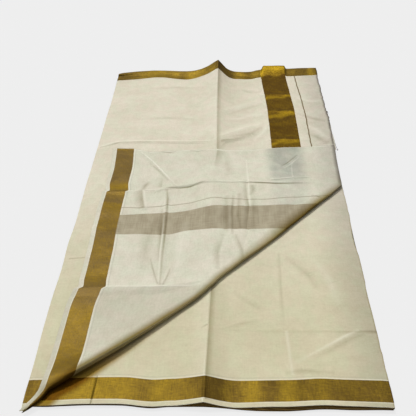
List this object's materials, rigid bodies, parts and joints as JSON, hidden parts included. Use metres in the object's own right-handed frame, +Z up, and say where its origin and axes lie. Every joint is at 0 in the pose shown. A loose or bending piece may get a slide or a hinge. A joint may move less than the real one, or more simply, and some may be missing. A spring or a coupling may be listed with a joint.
{
  "type": "folded kasavu saree",
  "caption": "Cream cotton saree with woven gold borders, folded to a flat pile, its top corner turned back to show the wrong side.",
  "frame": {"origin": "under the middle of the folded pile's box, on the surface that it lies on", "axes": "+X along the cloth's length (across the pile), +Y across the cloth from the near selvedge to the far one, +Z up"},
  "size_m": [0.6054, 1.2202, 0.0393],
  "materials": {
    "cream_cotton": "unbleached cotton, plain weave, matte",
    "bordered_cotton": "unbleached cotton, plain weave, with woven gold zari borders and bands"
  },
  "bodies": {
    "root": {"hidden_layers": "cream_cotton", "second_stretch": "bordered_cotton", "tucked_end": "cream_cotton", "top_stretch": "bordered_cotton", "turned_flap": "bordered_cotton"}
  },
  "joints": []
}
